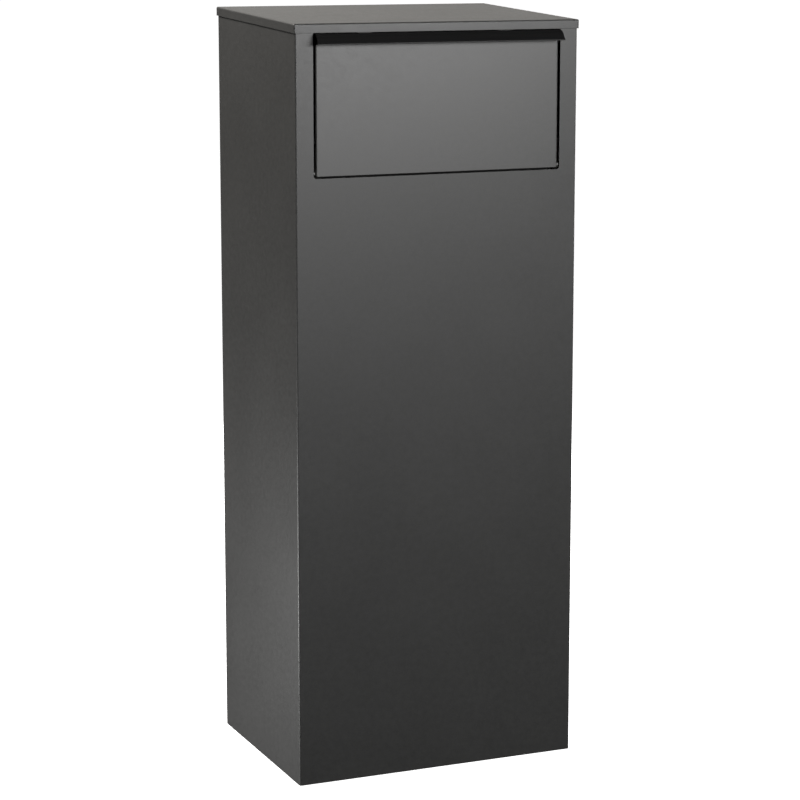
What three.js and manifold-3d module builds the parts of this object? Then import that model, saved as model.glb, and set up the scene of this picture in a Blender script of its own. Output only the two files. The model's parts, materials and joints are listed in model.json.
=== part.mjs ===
// Free-standing parcel mailbox: a folded steel column with a sloped lid, a tilting parcel flap with a
// hopper behind it, and a lockable emptying door at the rear.
// Millimetres. X to the right, Y to the rear, Z up. The origin is the middle of the footprint, on the floor.
import * as THREE from "three";
import { mergeVertices } from "three/addons/utils/BufferGeometryUtils.js";
import Module from "manifold-3d";

const wasm = await Module();
wasm.setup();

// Driving dimensions.
const WIDTH = 400;
const DEPTH = 295;
const FRONT_HEIGHT = 1005.5;
const ROOF_RISE = 12.9; // from the lid's front edge to its rear edge
const SHEET = 1.5;
const BEND = 0.8; // inner radius of a fold
const FIT = 0.3; // between two pieces that touch
const STEP = 0.2; // a cross fold starts this far inside the edge of its panel

const LID_SKIRT = 11.9;
const LID_OVERHANG = FIT + SHEET;

const FLAP_GAP = 3;
const OPENING_HALF = 175;
const OPENING_BOTTOM = 808.1;
const OPENING_TOP = 996;
const OPENING_CORNER = 4;
const FLAP_TOP = 989.7;
const FLAP_FOLD = 16; // the flap's side folds, deep enough to take the pivot pins
const FLAP_FOOT = 12;
const FLAP_FOOT_HALF = 163; // the foot stops short of the pins
const PIVOT_INSET = 5; // from the front face to the flap's axis
const PIVOT_HEIGHT = 814.5;
const FLAP_PIN_RADIUS = 2.5;
const FLAP_PIN_HEAD = 3.2;
const BUSH_WALL = 1.2;
const CHEEK_RADIUS = 166;
const TRAY_ANGLE = THREE.MathUtils.degToRad(125); // from the flap's panel to the hopper's tray
const TRAY_LENGTH = 151;
const TRAY_LIP = 12;
const GRIP_HALF = 173.5;
const GRIP_LEG_HALF = 164;
const GRIP_THICKNESS = 2.4;
const GRIP_NUT_HEIGHT = 982;

const BAFFLE_Y = 26;
const BAFFLE_BOTTOM = 864;

const JAMB_WIDTH = 22;
const JAMB_RETURN = 14.5;
const DOOR_GAP = 3;
const DOOR_BOTTOM = 63;
const DOOR_TOP = 897;
const DOOR_FOLD = 16;
const HINGE_INSET = 7.5; // from the door's edge to its axis
const HINGE_DEPTH = 7; // from the door's outer face to its axis
const PIN_RADIUS = 3;
const LOCK_X = 150;
const LOCK_Z = 480;
const LOCK_RADIUS = 9.5;
const PLUG_RADIUS = 6;

const BASE_SHEET = 2;
const BASE_UPSTAND = 25;
const ANCHOR = { x: 150, y: 100, radius: 6 };
const LID_FIXING = { x: 184, y: 100, nutHeight: 5, radius: 3 };

// Derived places.
const FRONT = -DEPTH / 2;
const REAR = DEPTH / 2;
const SIDE = WIDTH / 2;
const INNER_SIDE = SIDE - SHEET;
const BEHIND_FRONT = FRONT + SHEET + FIT;
const OPEN_SIDE = SIDE - JAMB_WIDTH;
const OVERHANG_FRONT = FRONT - LID_OVERHANG;
const ROOF_SLOPE = ROOF_RISE / (DEPTH + 2 * LID_OVERHANG);
const FLAP_HALF = OPENING_HALF - FLAP_GAP;
const FLAP_BOTTOM = OPENING_BOTTOM + FLAP_GAP;
const FLAP_FOOT_TOP = FLAP_BOTTOM + STEP + SHEET;
const FOLD_INNER = FLAP_HALF - SHEET;
const CHEEK_OUTER = FOLD_INNER - FIT;
const CHEEK_INNER = CHEEK_OUTER - SHEET;
const UPSTAND_OUTER = CHEEK_INNER - FIT;
const UPSTAND_INNER = UPSTAND_OUTER - SHEET;
const PIVOT_Y = FRONT + PIVOT_INSET;
const BRACKET_X = OPENING_HALF + 3;
const DOOR_HALF = OPEN_SIDE - DOOR_GAP;
const HINGE_X = -DOOR_HALF + HINGE_INSET;
const HINGE_Y = REAR - HINGE_DEPTH;
const SILL_TOP = DOOR_BOTTOM - DOOR_GAP;
const HEADER_BOTTOM = DOOR_TOP + DOOR_GAP;
const CAM_FACE = REAR - DOOR_FOLD - 1.1;

const coat = new THREE.MeshStandardMaterial({ color: 0x53534f, roughness: 0.55, metalness: 0.25 });
const black = new THREE.MeshStandardMaterial({ color: 0x141414, roughness: 0.5, metalness: 0.2 });
const zinc = new THREE.MeshStandardMaterial({ color: 0xa9adb0, roughness: 0.35, metalness: 0.9 });
const nickel = new THREE.MeshStandardMaterial({ color: 0xc9c9c6, roughness: 0.2, metalness: 1 });
const rubber = new THREE.MeshStandardMaterial({ color: 0x1b1b1b, roughness: 0.9, metalness: 0 });
const nylon = new THREE.MeshStandardMaterial({ color: 0xd8d6cf, roughness: 0.6, metalness: 0 });

const mailbox = new THREE.Group();
mailbox.name = "mailbox";
const cabinet = new THREE.Group();
const parcelFlap = new THREE.Group();
const rearDoor = new THREE.Group();
const cylinderLock = new THREE.Group();
mailbox.add(cabinet, parcelFlap, rearDoor, cylinderLock);

// ---- Shapes ----

// Height of the lid's top face at a depth y, and of the level just under its sheet.
function roofAt(y) {
  return FRONT_HEIGHT + (y - OVERHANG_FRONT) * ROOF_SLOPE;
}

function underLid(y) {
  return roofAt(y) - SHEET - FIT;
}

function solidOf(geometry) {
  const bare = geometry.clone();
  bare.deleteAttribute("normal");
  bare.deleteAttribute("uv");
  const merged = mergeVertices(bare, 1e-4);
  const vertProperties = merged.attributes.position.array;
  const triVerts = new Uint32Array(merged.index.array);
  return new wasm.Manifold(new wasm.Mesh({ numProp: 3, vertProperties, triVerts }));
}

function geometryOf(solid) {
  const mesh = solid.getMesh();
  const geometry = new THREE.BufferGeometry();
  geometry.setAttribute("position", new THREE.BufferAttribute(mesh.vertProperties, 3));
  geometry.setIndex(new THREE.BufferAttribute(mesh.triVerts, 1));
  const flat = geometry.toNonIndexed();
  flat.computeVertexNormals();
  return flat;
}

function join(...geometries) {
  return geometryOf(geometries.map(solidOf).reduce((whole, piece) => whole.add(piece)));
}

function cut(geometry, ...tools) {
  return geometryOf(tools.map(solidOf).reduce((whole, tool) => whole.subtract(tool), solidOf(geometry)));
}

function box([x0, x1], [y0, y1], [z0, z1]) {
  const geometry = new THREE.BoxGeometry(x1 - x0, y1 - y0, z1 - z0);
  return geometry.translate((x0 + x1) / 2, (y0 + y1) / 2, (z0 + z1) / 2);
}

function extrude(shape, from, to, curveSegments = 6) {
  const settings = { depth: to - from, bevelEnabled: false, curveSegments };
  return new THREE.ExtrudeGeometry(shape, settings).translate(0, 0, from);
}

const axisX = new THREE.Vector3(1, 0, 0);
const axisY = new THREE.Vector3(0, 1, 0);
const axisZ = new THREE.Vector3(0, 0, 1);
const alongX = new THREE.Matrix4().makeBasis(axisY, axisZ, axisX);
const alongY = new THREE.Matrix4().makeBasis(axisZ, axisX, axisY);

// A (y, z) outline extruded along X.
function extrudeX(shape, from, to) {
  return extrude(shape, from, to).applyMatrix4(alongX);
}

// A (z, x) outline extruded along Y.
function extrudeY(shape, from, to) {
  return extrude(shape, from, to).applyMatrix4(alongY);
}

function point(a, b) {
  return new THREE.Vector2(a, b);
}

function leftOf(direction) {
  return point(-direction.y, direction.x);
}

// One face of a folded sheet: the line shifted to its left, with each corner rounded about the fold's centre.
function foldedFace(line, shift, thickness) {
  const steps = 4;
  const face = [];
  line.forEach((corner, i) => {
    const into = i > 0 ? corner.clone().sub(line[i - 1]).normalize() : null;
    const out = i < line.length - 1 ? line[i + 1].clone().sub(corner).normalize() : null;
    if (!into || !out) {
      face.push(corner.clone().addScaledVector(leftOf(into ?? out), shift));
      return;
    }
    const turn = Math.atan2(into.cross(out), into.dot(out));
    const side = Math.sign(turn);
    const reach = side > 0 ? BEND + thickness : BEND;
    const toCentre = leftOf(into).add(leftOf(out)).multiplyScalar((side * reach) / (1 + into.dot(out)));
    const centre = corner.clone().add(toCentre);
    const spoke = leftOf(into).multiplyScalar(-side * Math.abs(side * reach - shift));
    for (let k = 0; k <= steps; k++) {
      face.push(spoke.clone().rotateAround(point(0, 0), (turn * k) / steps).add(centre));
    }
  });
  return face;
}

// The outline of a folded sheet: the line is one face, and the metal lies on its left.
function folded(line, thickness = SHEET) {
  const near = foldedFace(line, 0, thickness);
  const far = foldedFace(line, thickness, thickness).reverse();
  return new THREE.Shape([...near, ...far]);
}

function roundedRectangle(a0, a1, b0, b1, radius) {
  const shape = new THREE.Shape();
  shape.absarc(a1 - radius, b1 - radius, radius, 0, Math.PI / 2);
  shape.absarc(a0 + radius, b1 - radius, radius, Math.PI / 2, Math.PI);
  shape.absarc(a0 + radius, b0 + radius, radius, Math.PI, 1.5 * Math.PI);
  shape.absarc(a1 - radius, b0 + radius, radius, 1.5 * Math.PI, 2 * Math.PI);
  return shape;
}

// A turned piece: [radius, height] pairs from one end of the axis to the other, along +Z.
function turned(profile, segments = 20) {
  const first = [0, profile[0][1]];
  const last = [0, profile[profile.length - 1][1]];
  const points = [first, ...profile, last].map(([radius, height]) => point(radius, height));
  return new THREE.LatheGeometry(points, segments).rotateX(Math.PI / 2);
}

// A ring: [radius, height] pairs round its section, along +Z.
function ring(inner, outer, from, to, segments = 20) {
  const section = [point(inner, from), point(outer, from), point(outer, to), point(inner, to)];
  return new THREE.LatheGeometry([...section, section[0].clone()], segments).rotateX(Math.PI / 2);
}

function rod(radius, from, to, segments = 20) {
  return turned([[radius, from], [radius, to]], segments);
}

function hexNut(acrossFlats, bore, from, to) {
  const outline = new THREE.Shape();
  for (let k = 0; k < 6; k++) {
    const angle = (k * Math.PI) / 3;
    const radius = acrossFlats / Math.sqrt(3);
    outline[k ? "lineTo" : "moveTo"](radius * Math.cos(angle), radius * Math.sin(angle));
  }
  outline.closePath();
  const hole = new THREE.Path();
  hole.absarc(0, 0, bore, 0, 2 * Math.PI, true);
  outline.holes.push(hole);
  return extrude(outline, from, to, 12);
}

// Turns a piece made along +Z so that it lies along +X or +Y.
function layAlongX(geometry) {
  return geometry.rotateY(Math.PI / 2);
}

function layAlongY(geometry) {
  return geometry.rotateX(-Math.PI / 2);
}

function add(group, name, geometry, material, at = [0, 0, 0]) {
  const mesh = new THREE.Mesh(geometry, material);
  mesh.name = name;
  mesh.position.set(...at);
  group.add(mesh);
}

const SIDES = [["left", -1], ["right", 1]];

function mirrored(geometry, side) {
  if (side > 0) return geometry;
  const flipped = (geometry.index ? geometry.toNonIndexed() : geometry.clone()).scale(-1, 1, 1);
  const place = flipped.attributes.position;
  for (let i = 0; i < place.count; i += 3) {
    const second = [place.getX(i + 1), place.getY(i + 1), place.getZ(i + 1)];
    place.setXYZ(i + 1, place.getX(i + 2), place.getY(i + 2), place.getZ(i + 2));
    place.setXYZ(i + 2, ...second);
  }
  flipped.computeVertexNormals();
  return flipped;
}

// ---- Cabinet ----

// Front, both sides and the rear jambs, folded from one sheet, with the flap's opening cut in the front.
function bodyWrap() {
  const jamb = REAR - JAMB_RETURN;
  const plan = folded([
    point(-OPEN_SIDE, jamb),
    point(-OPEN_SIDE, REAR),
    point(-SIDE, REAR),
    point(-SIDE, FRONT),
    point(SIDE, FRONT),
    point(SIDE, REAR),
    point(OPEN_SIDE, REAR),
    point(OPEN_SIDE, jamb),
  ]);
  const above = roofAt(REAR) + 10;
  const beyond = 5;
  const roofCut = new THREE.Shape([
    point(FRONT - beyond, underLid(FRONT - beyond)),
    point(REAR + beyond, underLid(REAR + beyond)),
    point(REAR + beyond, above + beyond),
    point(FRONT - beyond, above + beyond),
  ]);
  const opening = roundedRectangle(
    OPENING_BOTTOM, OPENING_TOP, -OPENING_HALF, OPENING_HALF, OPENING_CORNER,
  );
  return cut(
    extrude(plan, 0, above),
    extrudeX(roofCut, -SIDE - beyond, SIDE + beyond),
    extrudeY(opening, FRONT - beyond, FRONT + beyond),
  );
}

// Sloped tray with upright skirts, and the four nuts welded under it.
function lidTray() {
  const section = (inset) => {
    const front = OVERHANG_FRONT + inset;
    const rear = -front;
    const drop = inset > 0 ? LID_SKIRT + 5 : LID_SKIRT;
    return new THREE.Shape([
      point(front, roofAt(front) - drop),
      point(rear, roofAt(rear) - drop),
      point(rear, roofAt(rear) - inset),
      point(front, roofAt(front) - inset),
    ]);
  };
  const outer = SIDE + LID_OVERHANG;
  const shell = cut(
    extrudeX(section(0), -outer, outer),
    extrudeX(section(SHEET), -outer + SHEET, outer - SHEET),
  );
  const nuts = [];
  for (const x of [-LID_FIXING.x, LID_FIXING.x]) {
    for (const y of [-LID_FIXING.y, LID_FIXING.y]) {
      const top = roofAt(y) - SHEET / 2;
      const bottom = roofAt(y) - SHEET - LID_FIXING.nutHeight;
      nuts.push(hexNut(10, LID_FIXING.radius + FIT, bottom, top).translate(x, y, 0));
    }
  }
  return join(shell, ...nuts);
}

// Welded to a side wall, it carries one lid screw.
function lidClip(y) {
  const top = roofAt(y) - SHEET - LID_FIXING.nutHeight - FIT;
  const wall = INNER_SIDE - FIT;
  const bracket = join(
    box([wall - BASE_SHEET, wall], [y - 15, y + 15], [top - 28, top]),
    box([wall - 27, wall], [y - 15, y + 15], [top - BASE_SHEET, top]),
  );
  const hole = rod(LID_FIXING.radius + FIT, top - 5, top + 2).translate(LID_FIXING.x, y, 0);
  return cut(bracket, hole);
}

function lidScrew(y) {
  const seat = roofAt(y) - SHEET - LID_FIXING.nutHeight - BASE_SHEET - 2 * FIT;
  const r = LID_FIXING.radius;
  return turned([[4.2, seat - 4], [5, seat - 3.4], [5, seat], [r, seat], [r, seat + 6.5]]);
}

// Floor tray with an upstand on each side and four anchor holes.
function basePan() {
  const x = INNER_SIDE - FIT;
  const front = BEHIND_FRONT;
  const rear = REAR - JAMB_RETURN - FIT;
  const t = BASE_SHEET;
  const pan = cut(
    box([-x, x], [front, rear], [0, BASE_UPSTAND]),
    box([-x + t, x - t], [front + t, rear - t], [t, BASE_UPSTAND + 5]),
  );
  const holes = [];
  for (const holeX of [-ANCHOR.x, ANCHOR.x]) {
    for (const holeY of [-ANCHOR.y, ANCHOR.y]) {
      holes.push(rod(ANCHOR.radius, -5, 10).translate(holeX, holeY, 0));
    }
  }
  return cut(pan, ...holes);
}

function hingeHole(from, to) {
  return rod(PIN_RADIUS + FIT, from, to).translate(HINGE_X, HINGE_Y, 0);
}

// The strip under the rear door, with a flange that holds the lower hinge pin.
function rearSill() {
  const section = folded([
    point(REAR - JAMB_RETURN, 0),
    point(REAR, 0),
    point(REAR, SILL_TOP),
    point(REAR - DOOR_FOLD, SILL_TOP),
  ]);
  const half = OPEN_SIDE - FIT;
  return cut(extrudeX(section, -half, half), hingeHole(SILL_TOP - 5, SILL_TOP + 5));
}

// The strip over the rear door, with a flange that holds the upper hinge pin.
function rearHeader() {
  const inner = REAR - DOOR_FOLD;
  const section = folded([
    point(inner, HEADER_BOTTOM),
    point(REAR, HEADER_BOTTOM),
    point(REAR, underLid(REAR) - FIT),
    point(inner, underLid(inner) - FIT),
  ]);
  const half = OPEN_SIDE - FIT;
  return cut(extrudeX(section, -half, half), hingeHole(HEADER_BOTTOM - 5, HEADER_BOTTOM + 5));
}

// Fixed sheet that hangs behind the hopper, so that a hand can't reach past the open flap.
function bafflePlate() {
  const rear = BAFFLE_Y + 18;
  const front = BAFFLE_Y - 18;
  const flangeHalf = 164;
  const wall = INNER_SIDE - FIT;
  const section = folded([
    point(rear, underLid(rear) - FIT),
    point(BAFFLE_Y, underLid(BAFFLE_Y) - FIT),
    point(BAFFLE_Y, BAFFLE_BOTTOM + SHEET),
    point(front, BAFFLE_BOTTOM + SHEET),
  ]);
  const plate = extrudeX(section, -wall, wall);
  const clear = [BAFFLE_BOTTOM - 5, BAFFLE_BOTTOM + 5];
  const pieces = [plate];
  const notches = [];
  for (const [, side] of SIDES) {
    const height = [BAFFLE_BOTTOM + 8, roofAt(BAFFLE_Y) - 12];
    pieces.push(mirrored(box([wall - SHEET, wall], [BAFFLE_Y + STEP, rear], height), side));
    notches.push(mirrored(box([flangeHalf, SIDE], [front - 5, BAFFLE_Y + 5], clear), side));
  }
  return cut(join(...pieces), ...notches);
}

// A (y, z) outline round the flap's axis: square at a front edge, and rounded at the rear.
function pivotOutline(radius, front) {
  const shape = new THREE.Shape();
  shape.moveTo(front, PIVOT_HEIGHT - radius);
  shape.absarc(PIVOT_Y, PIVOT_HEIGHT, radius, -Math.PI / 2, Math.PI / 2);
  shape.lineTo(front, PIVOT_HEIGHT + radius);
  shape.closePath();
  return shape;
}

// Angle welded behind the front beside the opening, with a slot for the flap's bush.
function pivotBracket() {
  const inner = BRACKET_X;
  const bottom = PIVOT_HEIGHT - 16;
  const top = PIVOT_HEIGHT + 34;
  const angle = join(
    box([inner, inner + 18], [BEHIND_FRONT, BEHIND_FRONT + BASE_SHEET], [PIVOT_HEIGHT + 8, top - STEP]),
    box([inner, inner + BASE_SHEET], [BEHIND_FRONT, BEHIND_FRONT + 24], [bottom, top]),
  );
  const slot = pivotOutline(FLAP_PIN_RADIUS + BUSH_WALL + FIT, BEHIND_FRONT - 5);
  return cut(angle, extrudeX(slot, inner - 5, inner + 8));
}

// Flanged nylon bush, flat against the inside of the front.
function flapBush() {
  const outer = FLAP_PIN_RADIUS + BUSH_WALL;
  const face = BRACKET_X - FIT;
  const body = extrudeX(pivotOutline(outer, BEHIND_FRONT), face - 1, BRACKET_X + BASE_SHEET + 0.6);
  const flange = extrudeX(pivotOutline(outer + 1.8, BEHIND_FRONT + STEP / 2), face - 1.5, face);
  const bore = layAlongX(rod(FLAP_PIN_RADIUS + FIT, face - 5, face + 10));
  return cut(join(body, flange), bore.translate(0, PIVOT_Y, PIVOT_HEIGHT));
}

const STOP = { x: 100, top: 998.5, drop: 985, back: -135, padRadius: 4.5, padHeight: 987.5 };

// Hanger behind the top strip of the front. Its pad meets the closed flap.
function flapStop() {
  const half = 10;
  return join(
    box([-half, half], [BEHIND_FRONT, BEHIND_FRONT + SHEET], [OPENING_TOP + 0.6, STOP.top + 3]),
    box([-half, half], [BEHIND_FRONT, STOP.back], [STOP.top - SHEET, STOP.top]),
    box([-half, half], [STOP.back - SHEET, STOP.back], [STOP.drop, STOP.top]),
  );
}

function flapPad() {
  const face = BEHIND_FRONT + 2 + 0.5;
  const back = STOP.back - SHEET - FIT;
  const r = STOP.padRadius;
  return layAlongY(turned([[r - 1, face], [r, face + 1], [r, back]]));
}

// Rubber buffer under the baffle's flange. The hopper's tray meets it when the flap is fully open.
function trayBuffer() {
  const top = BAFFLE_BOTTOM - FIT;
  return turned([[6, top - 3.4], [7, top - 2.4], [7, top]]);
}

add(cabinet, "body_wrap", bodyWrap(), coat);
add(cabinet, "lid_tray", lidTray(), coat);
add(cabinet, "base_pan", basePan(), coat);
add(cabinet, "rear_sill", rearSill(), coat);
add(cabinet, "rear_header", rearHeader(), coat);
add(cabinet, "baffle_plate", bafflePlate(), coat);
for (const [name, side] of SIDES) {
  for (const [place, y] of [["front", -LID_FIXING.y], ["rear", LID_FIXING.y]]) {
    add(cabinet, `lid_clip_${place}_${name}`, mirrored(lidClip(y), side), zinc);
    add(cabinet, `lid_screw_${place}_${name}`, lidScrew(y), zinc, [side * LID_FIXING.x, y, 0]);
  }
  add(cabinet, `pivot_bracket_${name}`, mirrored(pivotBracket(), side), zinc);
  add(cabinet, `flap_bush_${name}`, mirrored(flapBush(), side), nylon);
  add(cabinet, `flap_stop_${name}`, flapStop(), coat, [side * STOP.x, 0, 0]);
  add(cabinet, `flap_pad_${name}`, flapPad(), rubber, [side * STOP.x, 0, STOP.padHeight]);
  add(cabinet, `tray_buffer_${name}`, trayBuffer(), rubber, [side * 120, BAFFLE_Y - 16, 0]);
}

// ---- Parcel flap ----

const GRIP_NUTS = [-140, -60, 60, 140];
const FOLD_RIVETS = [855, 945];
const TRAY_RIVETS = [50, 125];
const RIVET_RADIUS = 2;

// The tray leaves the flap's lower fold at this point, in (y, z), and runs down to the rear.
const trayStart = point(FRONT + FLAP_FOOT + 0.5, FLAP_FOOT_TOP + FIT);
const trayRun = point(Math.sin(TRAY_ANGLE), Math.cos(TRAY_ANGLE));
const trayUp = point(-Math.cos(TRAY_ANGLE), Math.sin(TRAY_ANGLE));

function onTray(run, up) {
  return trayStart.clone().addScaledVector(trayRun, run).addScaledVector(trayUp, up);
}

function foldRivetAt(z) {
  return [FRONT + 6.5, z];
}

function trayRivetAt(run) {
  const place = onTray(run, 7);
  return [place.x, place.y];
}

function rivetHole(y, z) {
  return layAlongX(rod(RIVET_RADIUS + FIT, -SIDE, SIDE, 12)).translate(0, y, z);
}

function pivotHole() {
  const hole = layAlongX(rod(FLAP_PIN_RADIUS + FIT, FLAP_FOOT_HALF + 2, SIDE));
  return hole.translate(0, PIVOT_Y, PIVOT_HEIGHT);
}

// Front panel of the flap: folded back on both sides and at the foot, with four studs for the grip.
function flapPanel() {
  const plan = folded([
    point(-FLAP_HALF, FRONT + FLAP_FOLD),
    point(-FLAP_HALF, FRONT),
    point(FLAP_HALF, FRONT),
    point(FLAP_HALF, FRONT + FLAP_FOLD),
  ]);
  const foot = box(
    [-FLAP_FOOT_HALF, FLAP_FOOT_HALF],
    [FRONT + SHEET / 2, FRONT + FLAP_FOOT],
    [FLAP_BOTTOM + STEP, FLAP_FOOT_TOP],
  );
  const studs = GRIP_NUTS.map((x) =>
    layAlongY(rod(RIVET_RADIUS, FRONT + SHEET / 2, FRONT + 9.5, 12)).translate(x, 0, GRIP_NUT_HEIGHT),
  );
  const panel = join(extrude(plan, FLAP_BOTTOM, FLAP_TOP), foot, ...studs);
  const pivots = SIDES.map(([, side]) => mirrored(pivotHole(), side));
  return cut(panel, ...pivots, ...FOLD_RIVETS.map((z) => rivetHole(...foldRivetAt(z))));
}

// The grip's lip in (y, z): level from the flap's top edge, then curved over and sloping down to its tip.
function lipOutline() {
  const top = FLAP_TOP + FIT + GRIP_THICKNESS;
  const t = GRIP_THICKNESS;
  const shape = new THREE.Shape();
  shape.moveTo(FRONT + 3.8, top);
  shape.lineTo(FRONT - 3, top);
  shape.quadraticCurveTo(FRONT - 8.4, top - 0.6, FRONT - 11, top - 4.4);
  shape.lineTo(FRONT - 17.9, top - 13.2);
  shape.quadraticCurveTo(FRONT - 18.1, top - 14.9, FRONT - 16.2, top - 14.6);
  shape.lineTo(FRONT - 9.2, top - 6);
  shape.quadraticCurveTo(FRONT - 7.2, top - t - 0.6, FRONT - 3, top - t);
  shape.lineTo(FRONT + 3.8, top - t);
  shape.closePath();
  return shape;
}

// Full-width grip that hooks over the flap's top edge, with a leg behind the panel.
function gripProfile() {
  const leg = box(
    [-GRIP_LEG_HALF, GRIP_LEG_HALF],
    [BEHIND_FRONT, FRONT + 3.8],
    [GRIP_NUT_HEIGHT - 8, FLAP_TOP + FIT + GRIP_THICKNESS / 2],
  );
  const holes = GRIP_NUTS.map((x) =>
    layAlongY(rod(RIVET_RADIUS + FIT, FRONT, FRONT + 8, 12)).translate(x, 0, GRIP_NUT_HEIGHT),
  );
  return cut(join(extrudeX(lipOutline(), -GRIP_HALF, GRIP_HALF), leg), ...holes);
}

function gripNut() {
  return layAlongY(hexNut(7, RIVET_RADIUS + FIT, FRONT + 4.1, FRONT + 7.3));
}

// Side wall of the hopper: a sector about the flap's axis, from the panel round to the tray.
function hopperCheek() {
  const front = BEHIND_FRONT;
  const foot = FLAP_BOTTOM + STEP;
  const startAngle = Math.acos((front - PIVOT_Y) / CHEEK_RADIUS);
  const endAngle = Math.PI / 2 - TRAY_ANGLE - THREE.MathUtils.degToRad(0.5);
  const shape = new THREE.Shape();
  shape.moveTo(front, foot);
  shape.absarc(PIVOT_Y, PIVOT_HEIGHT, CHEEK_RADIUS, startAngle, endAngle, true);
  shape.lineTo(trayStart.x - 1, foot);
  shape.closePath();
  const plate = extrude(shape, CHEEK_INNER, CHEEK_OUTER, 28);
  return cut(
    plate.applyMatrix4(alongX),
    pivotHole(),
    ...FOLD_RIVETS.map((z) => rivetHole(...foldRivetAt(z))),
    ...TRAY_RIVETS.map((run) => rivetHole(...trayRivetAt(run))),
  );
}

// Floor of the hopper: it slopes to the rear while the flap is shut, and levels out as it opens.
function hopperTray() {
  const lipEnd = onTray(TRAY_LENGTH, -TRAY_LIP);
  const section = folded([
    point(BEHIND_FRONT, trayStart.y),
    trayStart,
    onTray(TRAY_LENGTH, 0),
    lipEnd,
  ]);
  const upstand = new THREE.Shape([
    onTray(20, 0.2),
    onTray(TRAY_LENGTH - 6, 0.2),
    onTray(TRAY_LENGTH - 10, 14),
    onTray(24, 14),
  ]);
  const sides = SIDES.map(([, side]) => mirrored(extrudeX(upstand, UPSTAND_INNER, UPSTAND_OUTER), side));
  const notches = SIDES.map(([, side]) => {
    const room = layAlongX(rod(FLAP_PIN_HEAD + 2, UPSTAND_INNER - 8, SIDE));
    return mirrored(room.translate(0, PIVOT_Y, PIVOT_HEIGHT), side);
  });
  return cut(
    join(extrudeX(section, -UPSTAND_OUTER, UPSTAND_OUTER), ...sides),
    ...notches,
    ...TRAY_RIVETS.map((run) => rivetHole(...trayRivetAt(run))),
  );
}

// Pivot pin, made along X from the cheek's inner face.
function flapPin() {
  const r = FLAP_PIN_RADIUS;
  const head = [[FLAP_PIN_HEAD - 0.6, -2.5], [FLAP_PIN_HEAD, -1.9], [FLAP_PIN_HEAD, -FIT]];
  return layAlongX(turned([...head, [r, -FIT], [r, 15.5], [r - 0.6, 16.1]]));
}

// Clip on the pin's outer end. Its mouth faces the front sheet and clears it at every angle of the flap.
function pinRetainer() {
  const from = BASE_SHEET + 1.2;
  const clip = ring(FLAP_PIN_RADIUS + FIT, FLAP_PIN_RADIUS + 1.5, from, from + 1);
  const mouth = box([from - 5, from + 5], [-10, -2], [-10, 10]);
  return cut(layAlongX(clip), mouth.rotateX(THREE.MathUtils.degToRad(-25)));
}

// Rivet through two sheets, made along X from the inner one.
function cheekRivet() {
  const r = RIVET_RADIUS;
  const through = 2 * SHEET + 2 * FIT;
  const head = [[2.4, -1.5], [3.6, -1], [3.6, -FIT]];
  const tail = [[3, through], [3, through + 0.6], [2, through + 1]];
  return layAlongX(turned([...head, [r, -FIT], [r, through], ...tail], 12));
}

add(parcelFlap, "flap_panel", flapPanel(), coat);
add(parcelFlap, "grip_profile", gripProfile(), black);
GRIP_NUTS.forEach((x, i) => {
  add(parcelFlap, `grip_nut_${i + 1}`, gripNut(), zinc, [x, 0, GRIP_NUT_HEIGHT]);
});
add(parcelFlap, "hopper_tray", hopperTray(), coat);
for (const [name, side] of SIDES) {
  add(parcelFlap, `hopper_cheek_${name}`, mirrored(hopperCheek(), side), coat);
  const pin = flapPin().translate(CHEEK_INNER, 0, 0);
  add(parcelFlap, `flap_pin_${name}`, mirrored(pin, side), coat, [0, PIVOT_Y, PIVOT_HEIGHT]);
  const retainer = pinRetainer().translate(BRACKET_X, 0, 0);
  add(parcelFlap, `pin_retainer_${name}`, mirrored(retainer, side), zinc, [0, PIVOT_Y, PIVOT_HEIGHT]);
  FOLD_RIVETS.forEach((z, i) => {
    const rivet = mirrored(cheekRivet().translate(CHEEK_INNER, 0, 0), side);
    add(parcelFlap, `fold_rivet_${name}_${i + 1}`, rivet, coat, [0, ...foldRivetAt(z)]);
  });
  TRAY_RIVETS.forEach((run, i) => {
    const rivet = mirrored(cheekRivet().translate(UPSTAND_INNER, 0, 0), side);
    add(parcelFlap, `tray_rivet_${name}_${i + 1}`, rivet, zinc, [0, ...trayRivetAt(run)]);
  });
}

// ---- Rear door ----

// Door leaf: a pan folded forward on all four edges, bored for the lock and the hinge pins.
function doorPanel() {
  const inner = REAR - DOOR_FOLD;
  const plan = folded([
    point(DOOR_HALF, inner),
    point(DOOR_HALF, REAR),
    point(-DOOR_HALF, REAR),
    point(-DOOR_HALF, inner),
  ]);
  const flange = (z) =>
    box([-DOOR_HALF + SHEET / 2, DOOR_HALF - SHEET / 2], [inner, REAR - SHEET / 2], [z, z + SHEET]);
  const lockHole = layAlongY(rod(LOCK_RADIUS + FIT, REAR - 8, REAR + 8, 28)).translate(LOCK_X, 0, LOCK_Z);
  return cut(
    join(extrude(plan, DOOR_BOTTOM, DOOR_TOP), flange(DOOR_BOTTOM + STEP), flange(DOOR_TOP - STEP - SHEET)),
    hingeHole(DOOR_BOTTOM - 5, DOOR_BOTTOM + 5),
    hingeHole(DOOR_TOP - 5, DOOR_TOP + 5),
    lockHole,
  );
}

// Hat section along the inside of the leaf.
function doorStiffener() {
  const back = REAR - SHEET - FIT;
  const crown = back - 12;
  const section = folded([
    point(45, back),
    point(25, back),
    point(25, crown),
    point(-25, crown),
    point(-25, back),
    point(-45, back),
  ]);
  return extrude(section, DOOR_BOTTOM + 40, DOOR_TOP - 40);
}

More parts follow.
